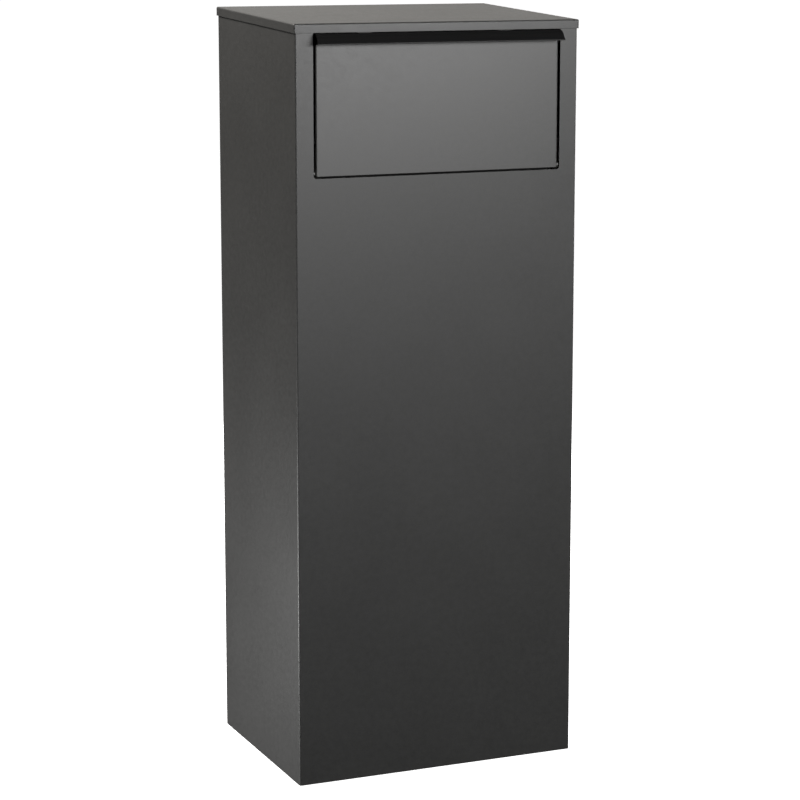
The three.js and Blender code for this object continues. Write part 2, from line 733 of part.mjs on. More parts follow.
// Hinge pin along Z with a collar that rests on the door's fold. Up is the way it leaves the door.
function hingePin(up) {
  const r = PIN_RADIUS;
  const fold = STEP + SHEET + FIT;
  const collar = [[r, -fold - 4], [5, -fold - 4], [5, -fold], [r, -fold]];
  const pin = turned([[r, -fold - 12], ...collar, [r, 10], [r - 1, 11]]);
  return up > 0 ? pin : pin.rotateX(Math.PI);
}

// Threaded lock body with its outer bezel, made along Y.
function lockHousing() {
  const outer = REAR + FIT;
  const inner = CAM_FACE + 0.6;
  const bore = PLUG_RADIUS + FIT;
  const section = [
    point(bore, inner),
    point(LOCK_RADIUS, inner),
    point(LOCK_RADIUS, outer),
    point(LOCK_RADIUS + 2.5, outer),
    point(LOCK_RADIUS + 2.5, outer + 2),
    point(LOCK_RADIUS + 1.5, outer + 3),
    point(bore, outer + 3),
    point(bore, inner),
  ];
  return layAlongY(new THREE.LatheGeometry(section, 28).rotateX(Math.PI / 2));
}

function lockNut() {
  const face = REAR - SHEET - FIT;
  return layAlongY(hexNut(24, LOCK_RADIUS + FIT, face - 5, face));
}

// Turning plug with a keyway in its outer end and a tapped hole in its inner end.
function lockPlug() {
  const inner = CAM_FACE + 0.3;
  const outer = REAR + 3.6;
  const plug = layAlongY(rod(PLUG_RADIUS, inner, outer, 28));
  const keyway = box([-0.7, 0.7], [outer - 12, outer + 2], [-3.8, 3.8]);
  const tapped = layAlongY(rod(2.5 + FIT, inner - 2, inner + 9));
  return cut(plug, keyway, tapped);
}

// Locking cam: it hangs down when unlocked and reaches behind the jamb after a quarter turn.
function lockCam() {
  const half = 6;
  const reach = 34;
  const shape = new THREE.Shape();
  shape.moveTo(-reach, -half);
  shape.lineTo(0, -half - 2);
  shape.absarc(0, 0, half + 2, -Math.PI / 2, Math.PI / 2);
  shape.lineTo(-reach, half);
  shape.closePath();
  const plate = extrudeY(shape, CAM_FACE - BASE_SHEET, CAM_FACE);
  return cut(plate, layAlongY(rod(2.5 + FIT, CAM_FACE - 8, CAM_FACE + 5)));
}

function camScrew() {
  const seat = CAM_FACE - BASE_SHEET - FIT;
  const head = [[3.6, seat - 2.8], [4.5, seat - 2.2], [4.5, seat]];
  return layAlongY(turned([...head, [2.5, seat], [2.5, seat + 10]]));
}

add(rearDoor, "door_panel", doorPanel(), coat);
add(rearDoor, "door_stiffener", doorStiffener(), coat);
add(rearDoor, "hinge_pin_top", hingePin(1), zinc, [HINGE_X, HINGE_Y, DOOR_TOP]);
add(rearDoor, "hinge_pin_bottom", hingePin(-1), zinc, [HINGE_X, HINGE_Y, DOOR_BOTTOM]);
const washer = ring(PIN_RADIUS + FIT, 6, SILL_TOP + FIT, DOOR_BOTTOM - FIT);
add(rearDoor, "hinge_washer", washer, nylon, [HINGE_X, HINGE_Y, 0]);
add(rearDoor, "lock_housing", lockHousing(), nickel, [LOCK_X, 0, LOCK_Z]);
add(rearDoor, "lock_nut", lockNut(), zinc, [LOCK_X, 0, LOCK_Z]);

cylinderLock.position.set(LOCK_X, 0, LOCK_Z);
add(cylinderLock, "lock_plug", lockPlug(), nickel);
add(cylinderLock, "lock_cam", lockCam(), zinc);
add(cylinderLock, "cam_screw", camScrew(), zinc);

export default mailbox;
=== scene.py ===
import bmesh
import bpy
import json
import math
from contextlib import contextmanager
from mathutils import Matrix, Vector

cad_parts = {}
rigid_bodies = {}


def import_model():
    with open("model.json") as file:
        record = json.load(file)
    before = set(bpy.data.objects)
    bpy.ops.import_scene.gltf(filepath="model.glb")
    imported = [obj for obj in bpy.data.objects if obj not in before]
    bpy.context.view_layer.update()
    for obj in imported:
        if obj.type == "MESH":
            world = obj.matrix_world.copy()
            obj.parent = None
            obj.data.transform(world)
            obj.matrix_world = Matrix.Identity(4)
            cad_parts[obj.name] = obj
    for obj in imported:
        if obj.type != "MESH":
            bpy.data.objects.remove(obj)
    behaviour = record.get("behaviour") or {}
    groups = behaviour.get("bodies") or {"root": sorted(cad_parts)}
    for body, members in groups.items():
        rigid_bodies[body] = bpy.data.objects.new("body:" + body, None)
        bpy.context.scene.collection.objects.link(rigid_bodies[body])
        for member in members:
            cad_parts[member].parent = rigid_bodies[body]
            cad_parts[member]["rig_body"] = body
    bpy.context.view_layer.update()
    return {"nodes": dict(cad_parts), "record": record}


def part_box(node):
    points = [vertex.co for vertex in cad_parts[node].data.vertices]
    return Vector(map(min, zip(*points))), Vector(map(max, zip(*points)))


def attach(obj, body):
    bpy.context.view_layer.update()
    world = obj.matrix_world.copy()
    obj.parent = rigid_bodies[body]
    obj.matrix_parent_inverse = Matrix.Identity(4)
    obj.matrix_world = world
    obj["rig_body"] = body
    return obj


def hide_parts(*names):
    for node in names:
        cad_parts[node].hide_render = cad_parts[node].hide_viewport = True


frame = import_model()
nodes = frame["nodes"]
print("frame loaded:", len(nodes), "nodes")

mm = 0.001
metal = {"sheet": 1.5 * mm, "fold": 2.3 * mm, "steps": 4, "edge": 0.25 * mm}  # fold: outer radius


# selecting and editing
def clearSelection():
    for thing in bpy.context.selected_objects:
        thing.select_set(False)


def makeActive(piece):
    clearSelection()
    bpy.context.view_layer.objects.active = piece
    piece.select_set(True)


@contextmanager
def editing(piece):  # everything starts deselected
    makeActive(piece)
    bpy.ops.object.mode_set(mode="EDIT")
    bpy.ops.mesh.select_all(action="DESELECT")
    yield
    bpy.ops.object.mode_set(mode="OBJECT")


def pick(piece, kind, test):  # selects the verts, edges or faces that pass the test
    bpy.ops.mesh.select_mode(type={"verts": "VERT", "edges": "EDGE", "faces": "FACE"}[kind])
    bpy.ops.mesh.select_all(action="DESELECT")
    shape = bmesh.from_edit_mesh(piece.data)
    for part in getattr(shape, kind):
        if test(part):
            part.select_set(True)
    shape.select_flush_mode()
    bmesh.update_edit_mesh(piece.data)


def facing(axis, sign):  # faces whose normal lies along an axis
    return lambda face: face.normal[axis] * sign > 0.9


def middleOf(part):
    return sum((v.co for v in part.verts), Vector()) / len(part.verts)


def near(value, target, reach=0.1 * mm):
    return abs(value - target) < reach


def running(edge, axis):  # edges that run along an axis
    way = edge.verts[1].co - edge.verts[0].co
    return abs(way[axis]) > 0.98 * way.length


def splitAcross(piece, test, place, normal):  # cuts the picked faces along a plane
    pick(piece, "faces", test)
    bpy.ops.mesh.bisect(plane_co=place, plane_no=normal)


def settle(piece):  # the object ends at the origin, unturned and unscaled
    makeActive(piece)
    bpy.ops.object.transform_apply(location=True, rotation=True, scale=True)
    return piece


def block(name, low, high):
    clearSelection()
    bpy.ops.mesh.primitive_cube_add(size=1, location=(low + high) / 2, scale=high - low)
    piece = bpy.context.object
    piece.name = name
    piece.data.name = name
    return settle(piece)


def turnedBar(name, radius, start, end, sides=48):  # a round bar from start to end
    clearSelection()
    way = end - start
    bpy.ops.mesh.primitive_cylinder_add(vertices=sides, radius=radius, depth=way.length,
                                        location=(start + end) / 2,
                                        rotation=way.to_track_quat("Z", "Y").to_euler())
    piece = bpy.context.object
    piece.name = name
    piece.data.name = name
    return settle(piece)


def another(piece, shift):  # a copy with a mesh of its own
    makeActive(piece)
    bpy.ops.object.duplicate(linked=False)
    twin = bpy.context.object
    twin.location = shift
    return settle(twin)


def applied(piece, kind, **settings):
    makeActive(piece)
    tool = piece.modifiers.new(kind.lower(), kind)
    for key, value in settings.items():
        setattr(tool, key, value)
    bpy.ops.object.modifier_apply(modifier=tool.name)
    return piece


def thicken(piece, thickness):  # metal grows inwards from the outer face
    return applied(piece, "SOLIDIFY", thickness=thickness, offset=-1, use_even_offset=True,
                   use_quality_normals=True)


def drill(piece, *tools):
    for tool in tools:
        applied(piece, "BOOLEAN", operation="DIFFERENCE", solver="EXACT", object=tool)
        bpy.data.objects.remove(tool)
    return piece


def soften(piece, width=metal["edge"], segments=2, angle=35):
    applied(piece, "BEVEL", width=width, segments=segments, limit_method="ANGLE",
            angle_limit=math.radians(angle), harden_normals=False)
    makeActive(piece)
    bpy.ops.object.shade_smooth_by_angle(angle=math.radians(angle))
    applied(piece, "WEIGHTED_NORMAL", mode="FACE_AREA", weight=100, keep_sharp=True)
    return piece


def merge(name, *pieces):
    clearSelection()
    for piece in pieces:
        piece.select_set(True)
    bpy.context.view_layer.objects.active = pieces[0]
    bpy.ops.object.join()
    pieces[0].name = name
    pieces[0].data.name = name
    return pieces[0]


def fit(piece, material, body, slotName, *replaced):  # replaced: the nodes it stands for
    piece.data.materials.clear()
    piece.data.materials.append(material)
    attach(piece, body)
    if replaced:
        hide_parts(*replaced)
    return piece


# materials
class Wire:  # a socket that can be written in sums
    def __init__(self, recipe, socket):
        self.recipe = recipe
        self.socket = socket

    def math(self, operation, first, second):
        return self.recipe.node("ShaderNodeMath", {"operation": operation}, {0: first, 1: second})

    def __add__(self, other):
        return self.math("ADD", self, other)

    def __radd__(self, other):
        return self.math("ADD", other, self)

    def __sub__(self, other):
        return self.math("SUBTRACT", self, other)

    def __rsub__(self, other):
        return self.math("SUBTRACT", other, self)

    def __mul__(self, other):
        return self.math("MULTIPLY", self, other)

    def __rmul__(self, other):
        return self.math("MULTIPLY", other, self)


class Recipe:  # a node tree written line by line
    def __init__(self, tree):
        self.tree = tree

    def node(self, kind, settings=None, sockets=None, output=0):
        made = self.tree.nodes.new(kind)
        for key, value in (settings or {}).items():
            if key == "stops":
                self.setStops(made.color_ramp, value)
            else:
                setattr(made, key, value)
        for key, value in (sockets or {}).items():
            self.feed(made.inputs[key], value)
        return Wire(self, made.outputs[output])

    def setStops(self, ramp, stops):
        while len(ramp.elements) < len(stops):
            ramp.elements.new(1)
        for element, (place, value) in zip(ramp.elements, stops):
            element.position = place
            element.color = (value, value, value, 1)

    def feed(self, socket, value):
        if isinstance(value, Wire):
            self.tree.links.new(value.socket, socket)
        else:
            socket.default_value = value

    def noise(self, scale, detail=2, roughness=0.5, where=None):
        sockets = {"Scale": scale, "Detail": detail, "Roughness": roughness}
        sockets["Vector"] = where or self.place()
        return self.node("ShaderNodeTexNoise", None, sockets)

    def place(self):  # the point on the piece, in metres
        return self.node("ShaderNodeTexCoord", None, None, "Object")

    def stretched(self, x, y, z):
        return self.node("ShaderNodeMapping", None, {"Vector": self.place(), "Scale": (x, y, z)})

    def ramp(self, value, *stops):
        return self.node("ShaderNodeValToRGB", {"stops": stops}, {"Fac": value})

    def blend(self, factor, first, second):
        return self.node("ShaderNodeMix", {"data_type": "RGBA"}, {0: factor, 6: first, 7: second}, 2)

    def bump(self, height, strength, distance):
        sockets = {"Height": height, "Strength": strength, "Distance": distance}
        return self.node("ShaderNodeBump", None, sockets)


class Finish(Recipe):  # a surface material
    def __init__(self, name, **constants):
        self.material = bpy.data.materials.new(name)
        self.material.use_nodes = True
        super().__init__(self.material.node_tree)
        self.shader = self.tree.nodes["Principled BSDF"]
        self.set(**constants)

    def set(self, **sockets):
        for key, value in sockets.items():
            self.feed(self.shader.inputs[key.replace("_", " ")], value)


powderLook = {
    "dark": (0.040, 0.040, 0.0392, 1),
    "light": (0.052, 0.052, 0.051, 1),
    "grainScale": 1500,     # 0.7 mm grain of the fine texture
    "pebbleScale": 420,     # flow marks of the sprayed coat
    "mottleScale": 130,     # faint patches a few millimetres wide
    "cloudScale": 9,        # slow change of shade over a panel
    "roughness": 0.44,
}


def powderCoat(name, lift):  # lift lightens the colour and raises the sheen together; a lift above 1 is painted light
    look = powderLook
    coat = Finish(name, IOR=1.5, Specular_IOR_Level=0.5 * lift)
    dark = tuple(lift * part for part in look["dark"][:3]) + (1,)
    light = tuple(lift * part for part in look["light"][:3]) + (1,)
    grain = coat.noise(look["grainScale"], 3, 0.6)
    pebble = coat.noise(look["pebbleScale"], 2, 0.5)
    mottle = coat.noise(look["mottleScale"], 3, 0.6)
    cloud = coat.noise(look["cloudScale"], 2, 0.5)
    fleck = coat.ramp(grain, (0.62, 0), (0.72, 1))
    tone = 0.35 * grain + 0.2 * pebble + 0.3 * mottle + 0.15 * cloud
    base = coat.blend(coat.ramp(tone, (0.38, 0), (0.62, 1)), dark, light)
    coat.set(
        Base_Color=coat.blend(fleck * 0.25, base, (0.10, 0.10, 0.098, 1)),
        Roughness=look["roughness"] + 0.10 * (pebble - 0.5) + 0.12 * (mottle - 0.5) + 0.05 * (cloud - 0.5),
        Normal=coat.bump(grain * 0.6 + pebble * 0.4, 0.22, 0.12 * mm),
    )
    return coat.material


gripLook = {
    "color": (0.0055, 0.0055, 0.0056, 1),
    "worn": (0.0085, 0.0085, 0.0087, 1),
    "rim": (0.075, 0.075, 0.074, 1),  # painted reflection of the pale floor along the grip's lower rim
    "rimDrop": 12.7 * mm,             # below the grip's top
    "rimFade": 0.6 * mm,
    "roughness": 0.5,
}


def blackCoat():
    look = gripLook
    coat = Finish("blackCoat", IOR=1.4, Specular_IOR_Level=0.25)
    grain = coat.noise(1800, 2, 0.6)
    drawn = coat.noise(60, 3, 0.5, coat.stretched(0.15, 6, 6))
    height = coat.node("ShaderNodeSeparateXYZ", None, {"Vector": coat.place()}, "Z")
    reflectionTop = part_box("grip_profile")[1].z - look["rimDrop"]
    # painted reflection: a lighter band of colour along the lower rim of the grip
    rim = coat.ramp((height - reflectionTop) * (1 / look["rimFade"]), (0, 1), (1, 0))
    coat.set(
        Base_Color=coat.blend(rim, coat.blend(drawn, look["color"], look["worn"]), look["rim"]),
        Roughness=look["roughness"] + 0.12 * (drawn - 0.5),
        Normal=coat.bump(grain, 0.15, 0.08 * mm),
    )
    return coat.material


def zincPlate():
    zinc = Finish("zincPlate", Metallic=1.0)
    spangle = zinc.noise(260, 4, 0.6)
    drawn = zinc.noise(900, 2, 0.5, zinc.stretched(1, 0.12, 1))
    haze = zinc.noise(35, 2, 0.5)
    zinc.set(
        Base_Color=zinc.blend(haze, (0.36, 0.37, 0.385, 1), (0.45, 0.445, 0.42, 1)),
        Roughness=0.42 + 0.18 * (spangle - 0.5) + 0.08 * (drawn - 0.5),
        Normal=zinc.bump(drawn + spangle, 0.10, 0.05 * mm),
    )
    return zinc.material


def nickelPlate():
    nickel = Finish("nickelPlate", Metallic=1.0)
    haze = nickel.noise(300, 3, 0.6)
    scratches = nickel.noise(2200, 1, 0.4, nickel.stretched(0.06, 1, 1))
    nickel.set(
        Base_Color=nickel.blend(haze, (0.26, 0.257, 0.24, 1), (0.32, 0.316, 0.30, 1)),
        Roughness=0.33 + 0.10 * (haze - 0.5) + 0.08 * nickel.ramp(scratches, (0.55, 0), (0.7, 1)),
        Normal=nickel.bump(scratches, 0.05, 0.03 * mm),
    )
    return nickel.material


def blackRubber():
    rubber = Finish("blackRubber")
    grain = rubber.noise(1400, 3, 0.7)
    bloom = rubber.noise(120, 2, 0.5)
    rubber.set(
        Base_Color=rubber.blend(bloom, (0.012, 0.012, 0.012, 1), (0.026, 0.026, 0.027, 1)),
        Roughness=0.72 + 0.2 * (grain - 0.5),
        Normal=rubber.bump(grain, 0.3, 0.1 * mm),
    )
    return rubber.material


def naturalNylon():
    nylon = Finish("naturalNylon", Subsurface_Weight=0.1)
    cloud = nylon.noise(220, 2, 0.5)
    grain = nylon.noise(1600, 2, 0.5)
    nylon.set(
        Base_Color=nylon.blend(cloud, (0.62, 0.60, 0.54, 1), (0.74, 0.73, 0.68, 1)),
        Roughness=0.45 + 0.1 * (grain - 0.5),
        Normal=nylon.bump(grain, 0.1, 0.05 * mm),
    )
    return nylon.material


finishes = {
    "powder_coat": powderCoat("powderCoat", 1.0),
    # a lighter, glossier copy of the coat: painted light on the flap
    "flap_coat": powderCoat("flapCoat", 1.2),
    # a much lighter copy of the coat: painted highlight on the flap's pins in the gaps
    "pin_coat": powderCoat("pinCoat", 2.0),
    "grip_black": blackCoat(),
    "zinc_steel": zincPlate(),
    "nickel": nickelPlate(),
    "rubber_black": blackRubber(),
    "nylon": naturalNylon(),
}
print("materials ready:", len(finishes))

# places taken from the frame
wrapLow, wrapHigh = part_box("body_wrap")
lidLow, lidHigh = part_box("lid_tray")
flapLow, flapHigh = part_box("flap_panel")
gripLow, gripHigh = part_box("grip_profile")
doorLow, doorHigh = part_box("door_panel")
lidSkirt = 11.9 * mm
roofRise = lidHigh.z - lidLow.z - lidSkirt
roofSlope = roofRise / (lidHigh.y - lidLow.y)
front = wrapLow.y
rear = wrapHigh.y


# body shell
shellCut = {
    "jamb": 22 * mm,       # width of the strip beside the rear door
    "returnDepth": 14.5 * mm,
    "openingHalf": 175 * mm,
    "openingLow": 808.1 * mm,
    "openingHigh": 996 * mm,
    "corner": 4 * mm,      # rounding of the flap opening's corners
}


def bodyShell():
    cut = shellCut
    shell = block("bodyShell", wrapLow.copy(), wrapHigh.copy())
    jambEdge = wrapHigh.x - cut["jamb"]
    frontTop = max(v.co.z for v in nodes["body_wrap"].data.vertices if v.co.y < front + mm)
    with editing(shell):
        pick(shell, "verts", lambda v: v.co.z > 0.5 and v.co.y < 0)  # the roof line falls to the front
        bpy.ops.transform.translate(value=(0, 0, frontTop - wrapHigh.z))
        pick(shell, "faces", lambda f: abs(f.normal.z) > 0.9)
        bpy.ops.mesh.delete(type="FACE")
        for side in (-1, 1):
            splitAcross(shell, facing(1, 1), (side * jambEdge, 0, 0), (1, 0, 0))
        pick(shell, "faces", lambda f: f.normal.y > 0.9 and abs(middleOf(f).x) < jambEdge - mm)
        bpy.ops.mesh.delete(type="FACE")
        pick(shell, "edges", lambda e: near(abs(e.verts[0].co.x), jambEdge) and running(e, 2))
        bpy.ops.mesh.extrude_edges_move(TRANSFORM_OT_translate={"value": (0, -cut["returnDepth"], 0)})
        pick(shell, "edges", lambda e: running(e, 2) and len(e.link_faces) == 2)
        bpy.ops.mesh.bevel(offset=metal["fold"], segments=metal["steps"] + 2, affect="EDGES")
    thicken(shell, metal["sheet"])
    window = block("window", Vector((-cut["openingHalf"], front - 5 * mm, cut["openingLow"])),
                   Vector((cut["openingHalf"], front + 5 * mm, cut["openingHigh"])))
    with editing(window):
        pick(window, "edges", lambda e: running(e, 1))
        bpy.ops.mesh.bevel(offset=cut["corner"], segments=8, affect="EDGES")
    drill(shell, window)
    soften(shell)
    return fit(shell, finishes["powder_coat"], "cabinet", "powder_coat", "body_wrap")


bodyShell()
print("body shell folded")


# lid
lidShape = {
    "fold": 2.1 * mm,
    "steps": 5,
    "nutRadius": 5.8 * mm,
    "nutHeight": 5 * mm,
    "nutSink": 0.5 * mm,     # how far the welded nut reaches into the sheet
    "nutBore": 3.3 * mm,
}


def lidCap():
    lid = block("lidCap", Vector((lidLow.x, lidLow.y, lidLow.z)), lidHigh.copy())
    with editing(lid):
        pick(lid, "verts", lambda v: v.co.z > lidHigh.z - mm and v.co.y < 0)
        bpy.ops.transform.translate(value=(0, 0, -roofRise))
        pick(lid, "verts", lambda v: v.co.z < lidLow.z + mm and v.co.y > 0)
        bpy.ops.transform.translate(value=(0, 0, roofRise))
        pick(lid, "faces", facing(2, -1))
        bpy.ops.mesh.delete(type="FACE")
        pick(lid, "edges", lambda e: len(e.link_faces) == 2)
        bpy.ops.mesh.bevel(offset=lidShape["fold"], segments=lidShape["steps"], affect="EDGES")
    thicken(lid, metal["sheet"])
    soften(lid)
    places = []
    for name in ("front_left", "front_right", "rear_left", "rear_right"):
        low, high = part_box("lid_screw_" + name)
        middle = (low + high) / 2
        middle.z = lidLow.z + lidSkirt + (middle.y - lidLow.y) * roofSlope - metal["sheet"]
        places.append(middle)
    first = places[0]
    up = Vector((0, 0, 1))
    nut = turnedBar("nut", lidShape["nutRadius"], first - up * lidShape["nutHeight"],
                    first + up * lidShape["nutSink"], 6)
    bore = turnedBar("bore", lidShape["nutBore"], first - up * (lidShape["nutHeight"] + 3 * mm),
                     first - up * 0.2 * mm, 24)
    nuts = [soften(drill(nut, bore), 0.35 * mm, 2)]
    for place in places[1:]:
        nuts.append(another(nut, place - first))
    lid = merge("lidCap", lid, *nuts)
    return fit(lid, finishes["powder_coat"], "cabinet", "powder_coat", "lid_tray")


lidCap()
print("lid folded")


# flap
flapShape = {
    "fold": 2.2 * mm,
    "foot": 12 * mm,         # the level fold along the lower edge
    "footHalf": 163 * mm,
    "footGap": 0.2 * mm,     # above the panel's lower edge
    "pinHole": 2.8 * mm,
    "pinReach": (168 * mm, 180 * mm),  # the holes run through the side folds only
    "rivetHole": 2.3 * mm,
    "stud": 2 * mm,
    "studStart": 0.75 * mm,  # in the middle of the sheet
    "studEnd": 9.5 * mm,
}


def flapFront():
    panel = block("flapFront", Vector((flapLow.x, flapLow.y, flapLow.z)), flapHigh.copy())
    with editing(panel):
        pick(panel, "faces", facing(1, 1))
        bpy.ops.mesh.delete(type="FACE")
        pick(panel, "faces", facing(2, 1))
        bpy.ops.mesh.delete(type="FACE")
        pick(panel, "edges", lambda e: running(e, 2) and len(e.link_faces) == 2)
        bpy.ops.mesh.bevel(offset=flapShape["fold"], segments=5, affect="EDGES")
        pick(panel, "faces", facing(2, -1))
        bpy.ops.mesh.delete(type="FACE")
    thicken(panel, metal["sheet"])
    footLow = flapLow.z + flapShape["footGap"]
    foot = block("foot", Vector((-flapShape["footHalf"], front + 0.6 * mm, footLow)),
                 Vector((flapShape["footHalf"], front + flapShape["foot"], footLow + metal["sheet"])))
    applied(panel, "BOOLEAN", operation="UNION", solver="EXACT", object=foot)
    bpy.data.objects.remove(foot)
    pinLow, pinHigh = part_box("flap_pin_left")
    axis = (pinLow + pinHigh) / 2
    holes = []
    inner, outer = flapShape["pinReach"]
    for side in (-1, 1):
        holes.append(turnedBar("hole", flapShape["pinHole"], Vector((side * inner, axis.y, axis.z)),
                               Vector((side * outer, axis.y, axis.z))))
    for name in ("fold_rivet_left_1", "fold_rivet_left_2"):
        low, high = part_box(name)
        spot = (low + high) / 2
        holes.append(turnedBar("hole", flapShape["rivetHole"], Vector((-0.2, spot.y, spot.z)),
                               Vector((0.2, spot.y, spot.z)), 24))
    drill(panel, *holes)
    soften(panel)
    places = []
    for i in range(1, 5):
        low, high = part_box("grip_nut_" + str(i))
        places.append((low + high) / 2)
    first = places[0]
    stud = turnedBar("stud", flapShape["stud"], Vector((first.x, front + flapShape["studStart"], first.z)),
                     Vector((first.x, front + flapShape["studEnd"], first.z)), 24)
    studs = [soften(stud, 0.4 * mm, 2)]
    for place in places[1:]:
        studs.append(another(stud, Vector((place.x - first.x, 0, place.z - first.z))))
    panel = merge("flapFront", panel, *studs)
    return fit(panel, finishes["flap_coat"], "parcel_flap", "powder_coat", "flap_panel")


gripShape = {
    "thickness": 2.4 * mm,
    "level": 3 * mm,         # level stretch in front of the panel
    "turn": 52,              # degrees from level to the slope
    "radius": 10.1 * mm,     # outer radius of the curve
    "steps": 10,
    "slope": 11.0 * mm,      # straight stretch before the rounded tip
    "tip": 0.95 * mm,        # rounding of the tip
    "legHalf": 164 * mm,     # the leg that is held by the panel's studs
    "legFront": 1.8 * mm,
    "legBack": 3.8 * mm,
    "legDrop": 18.1 * mm,
}


def gripLip():
    shape = gripShape
    top = gripHigh.z
    lip = block("gripLip", Vector((gripLow.x, front - shape["level"], top - shape["thickness"])),
                Vector((gripHigh.x, front + shape["legBack"], top)))
    centre = Vector((0, front - shape["level"], top - shape["radius"]))
    turn = math.radians(shape["turn"] / shape["steps"])
    with editing(lip):
        pick(lip, "faces", facing(1, -1))
        for step in range(shape["steps"]):
            bpy.ops.mesh.extrude_region_move()
            bpy.ops.transform.rotate(value=-turn, orient_axis="X", center_override=centre)
        way = Vector((0, -math.cos(math.radians(shape["turn"])), -math.sin(math.radians(shape["turn"]))))
        bpy.ops.mesh.extrude_region_move(TRANSFORM_OT_translate={"value": way * shape["slope"]})
        pick(lip, "edges", lambda e: running(e, 0) and any(f.calc_area() < 0.0009
             and f.normal.dot(way) > 0.9 for f in e.link_faces))
        bpy.ops.mesh.bevel(offset=shape["tip"], segments=4, affect="EDGES")
    leg = block("leg", Vector((-shape["legHalf"], front + shape["legFront"], top - shape["legDrop"])),
                Vector((shape["legHalf"], front + shape["legBack"] - 0.01 * mm,
                        top - shape["thickness"] / 2)))
    applied(lip, "BOOLEAN", operation="UNION", solver="EXACT", object=leg)
    bpy.data.objects.remove(leg)
    soften(lip, 0.2 * mm, 2, 30)
    return fit(lip, finishes["grip_black"], "parcel_flap", "grip_black", "grip_profile")


flapFront()
gripLip()
print("flap and grip made")


# rear door
doorShape = {"fold": 2.3 * mm, "lockHole": 9.8 * mm, "pinHole": 3.3 * mm}


def doorLeaf():
    leaf = block("doorLeaf", doorLow.copy(), doorHigh.copy())
    plugLow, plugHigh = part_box("lock_plug")
    lock = (plugLow + plugHigh) / 2
    pinLow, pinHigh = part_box("hinge_pin_top")
    axis = (pinLow + pinHigh) / 2
    with editing(leaf):
        pick(leaf, "faces", facing(1, -1))
        bpy.ops.mesh.delete(type="FACE")
        pick(leaf, "edges", lambda e: len(e.link_faces) == 2)
        bpy.ops.mesh.bevel(offset=doorShape["fold"], segments=5, affect="EDGES")
    thicken(leaf, metal["sheet"])
    holes = [
        turnedBar("hole", doorShape["lockHole"], Vector((lock.x, rear - 8 * mm, lock.z)),
                  Vector((lock.x, rear + 8 * mm, lock.z))),
        turnedBar("hole", doorShape["pinHole"], Vector((axis.x, axis.y, doorHigh.z - 6 * mm)),
                  Vector((axis.x, axis.y, doorHigh.z + 6 * mm)), 24),
        turnedBar("hole", doorShape["pinHole"], Vector((axis.x, axis.y, doorLow.z - 6 * mm)),
                  Vector((axis.x, axis.y, doorLow.z + 6 * mm)), 24),
    ]
    drill(leaf, *holes)
    soften(leaf)
    return fit(leaf, finishes["powder_coat"], "rear_door", "powder_coat", "door_panel")


lockShape = {
    "radius": 9.5 * mm,
    "bezel": 12 * mm,
    "bezelDepth": 3 * mm,
    "bezelTaper": 0.86,      # front face against the rim
    "plug": 6 * mm,
    "play": 0.3 * mm,
    "keywayHalf": (0.7 * mm, 3.4 * mm),
    "keywayDepth": 12 * mm,
    "screwHole": 2.8 * mm,
    "screwDepth": 7 * mm,
}


def lockBody():
    low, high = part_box("lock_housing")
    middle = (low + high) / 2
    body = turnedBar("lockBody", lockShape["radius"], Vector((middle.x, low.y, middle.z)),
                     Vector((middle.x, high.y - lockShape["bezelDepth"], middle.z)), 48)
    with editing(body):
        pick(body, "faces", facing(1, 1))
        bpy.ops.mesh.extrude_region_move(TRANSFORM_OT_translate={"value": (0, 0, 0)})
        bpy.ops.transform.resize(value=[lockShape["bezel"] / lockShape["radius"]] * 3,
                                 center_override=(middle.x, high.y - lockShape["bezelDepth"], middle.z))
        bpy.ops.mesh.extrude_region_move(TRANSFORM_OT_translate={"value": (0, 2 * mm, 0)})
        bpy.ops.mesh.extrude_region_move(TRANSFORM_OT_translate={"value": (0, 1 * mm, 0)})
        bpy.ops.transform.resize(value=[lockShape["bezelTaper"]] * 3,
                                 center_override=(middle.x, high.y, middle.z))
        bpy.ops.mesh.inset(thickness=3.1 * mm, depth=0)
        bpy.ops.mesh.inset(thickness=0.3 * mm, depth=-0.5 * mm)
    bore = turnedBar("bore", lockShape["plug"] + lockShape["play"], Vector((middle.x, low.y - mm, middle.z)),
                     Vector((middle.x, high.y + mm, middle.z)), 48)
    drill(body, bore)
    soften(body, 0.2 * mm, 2)
    return fit(body, finishes["nickel"], "rear_door", "nickel", "lock_housing")


def lockPlug():
    low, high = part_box("lock_plug")
    middle = (low + high) / 2
    plug = turnedBar("lockPlug", lockShape["plug"], Vector((middle.x, low.y, middle.z)),
                     Vector((middle.x, high.y, middle.z)), 48)
    with editing(plug):
        pick(plug, "faces", facing(1, 1))
        bpy.ops.mesh.inset(thickness=0.8 * mm, depth=0)
        bpy.ops.mesh.inset(thickness=0.3 * mm, depth=-0.3 * mm)
    halfWidth, halfHeight = lockShape["keywayHalf"]
    bottom = high.y - lockShape["keywayDepth"]
    keyway = block("keyway", Vector((middle.x - halfWidth, bottom, middle.z - halfHeight)),
                   Vector((middle.x + halfWidth, high.y + 2 * mm, middle.z + halfHeight)))
    ward = block("ward", Vector((middle.x - 1.5 * mm, bottom, middle.z - 0.6 * mm)),
                 Vector((middle.x, high.y + 2 * mm, middle.z + 0.9 * mm)))
    tapped = turnedBar("tapped", lockShape["screwHole"], Vector((middle.x, low.y - mm, middle.z)),
                       Vector((middle.x, low.y + lockShape["screwDepth"], middle.z)), 24)
    drill(plug, keyway, ward, tapped)
    soften(plug, 0.12 * mm, 2)
    return fit(plug, finishes["nickel"], "lock_barrel", "nickel", "lock_plug")


doorLeaf()
lockBody()
lockPlug()
print("rear door and lock made")


# sheet and hardware that keep the frame's own shape
cleanUp = {"merge": 0.02 * mm, "flat": 0.6}  # doubles, and degrees within which triangles are one face


